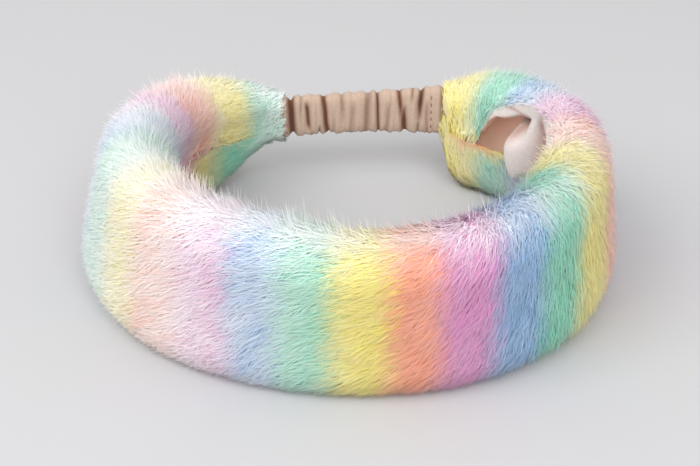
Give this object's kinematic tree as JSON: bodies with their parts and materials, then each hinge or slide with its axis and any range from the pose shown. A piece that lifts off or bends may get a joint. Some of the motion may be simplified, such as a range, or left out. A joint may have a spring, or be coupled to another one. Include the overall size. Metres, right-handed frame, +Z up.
{
  "type": "plush headband",
  "caption": "Plush headband: a thick ring of pastel-striped faux fur with turned-in edges, a beige lining inside, and a gathered casing with an elastic strip at the back.",
  "frame": {"origin": "on the surface that the headband stands on, under the centre of its bounding box", "axes": "+X across the headband to the right as seen from its front, +Y from the front to the gathered casing at the back, +Z up"},
  "size_m": [0.1965, 0.1676, 0.0589],
  "materials": {
    "fur": "long soft pile in pastel stripes, pale at the tips",
    "lining": "plain matt weave",
    "casing": "plain matt weave, closely gathered",
    "elastic": "braided elastic"
  },
  "bodies": {
    "root": {"fur_band": "fur", "lining": "lining", "elastic_casing": "casing", "elastic_strip": "elastic"}
  },
  "joints": []
}
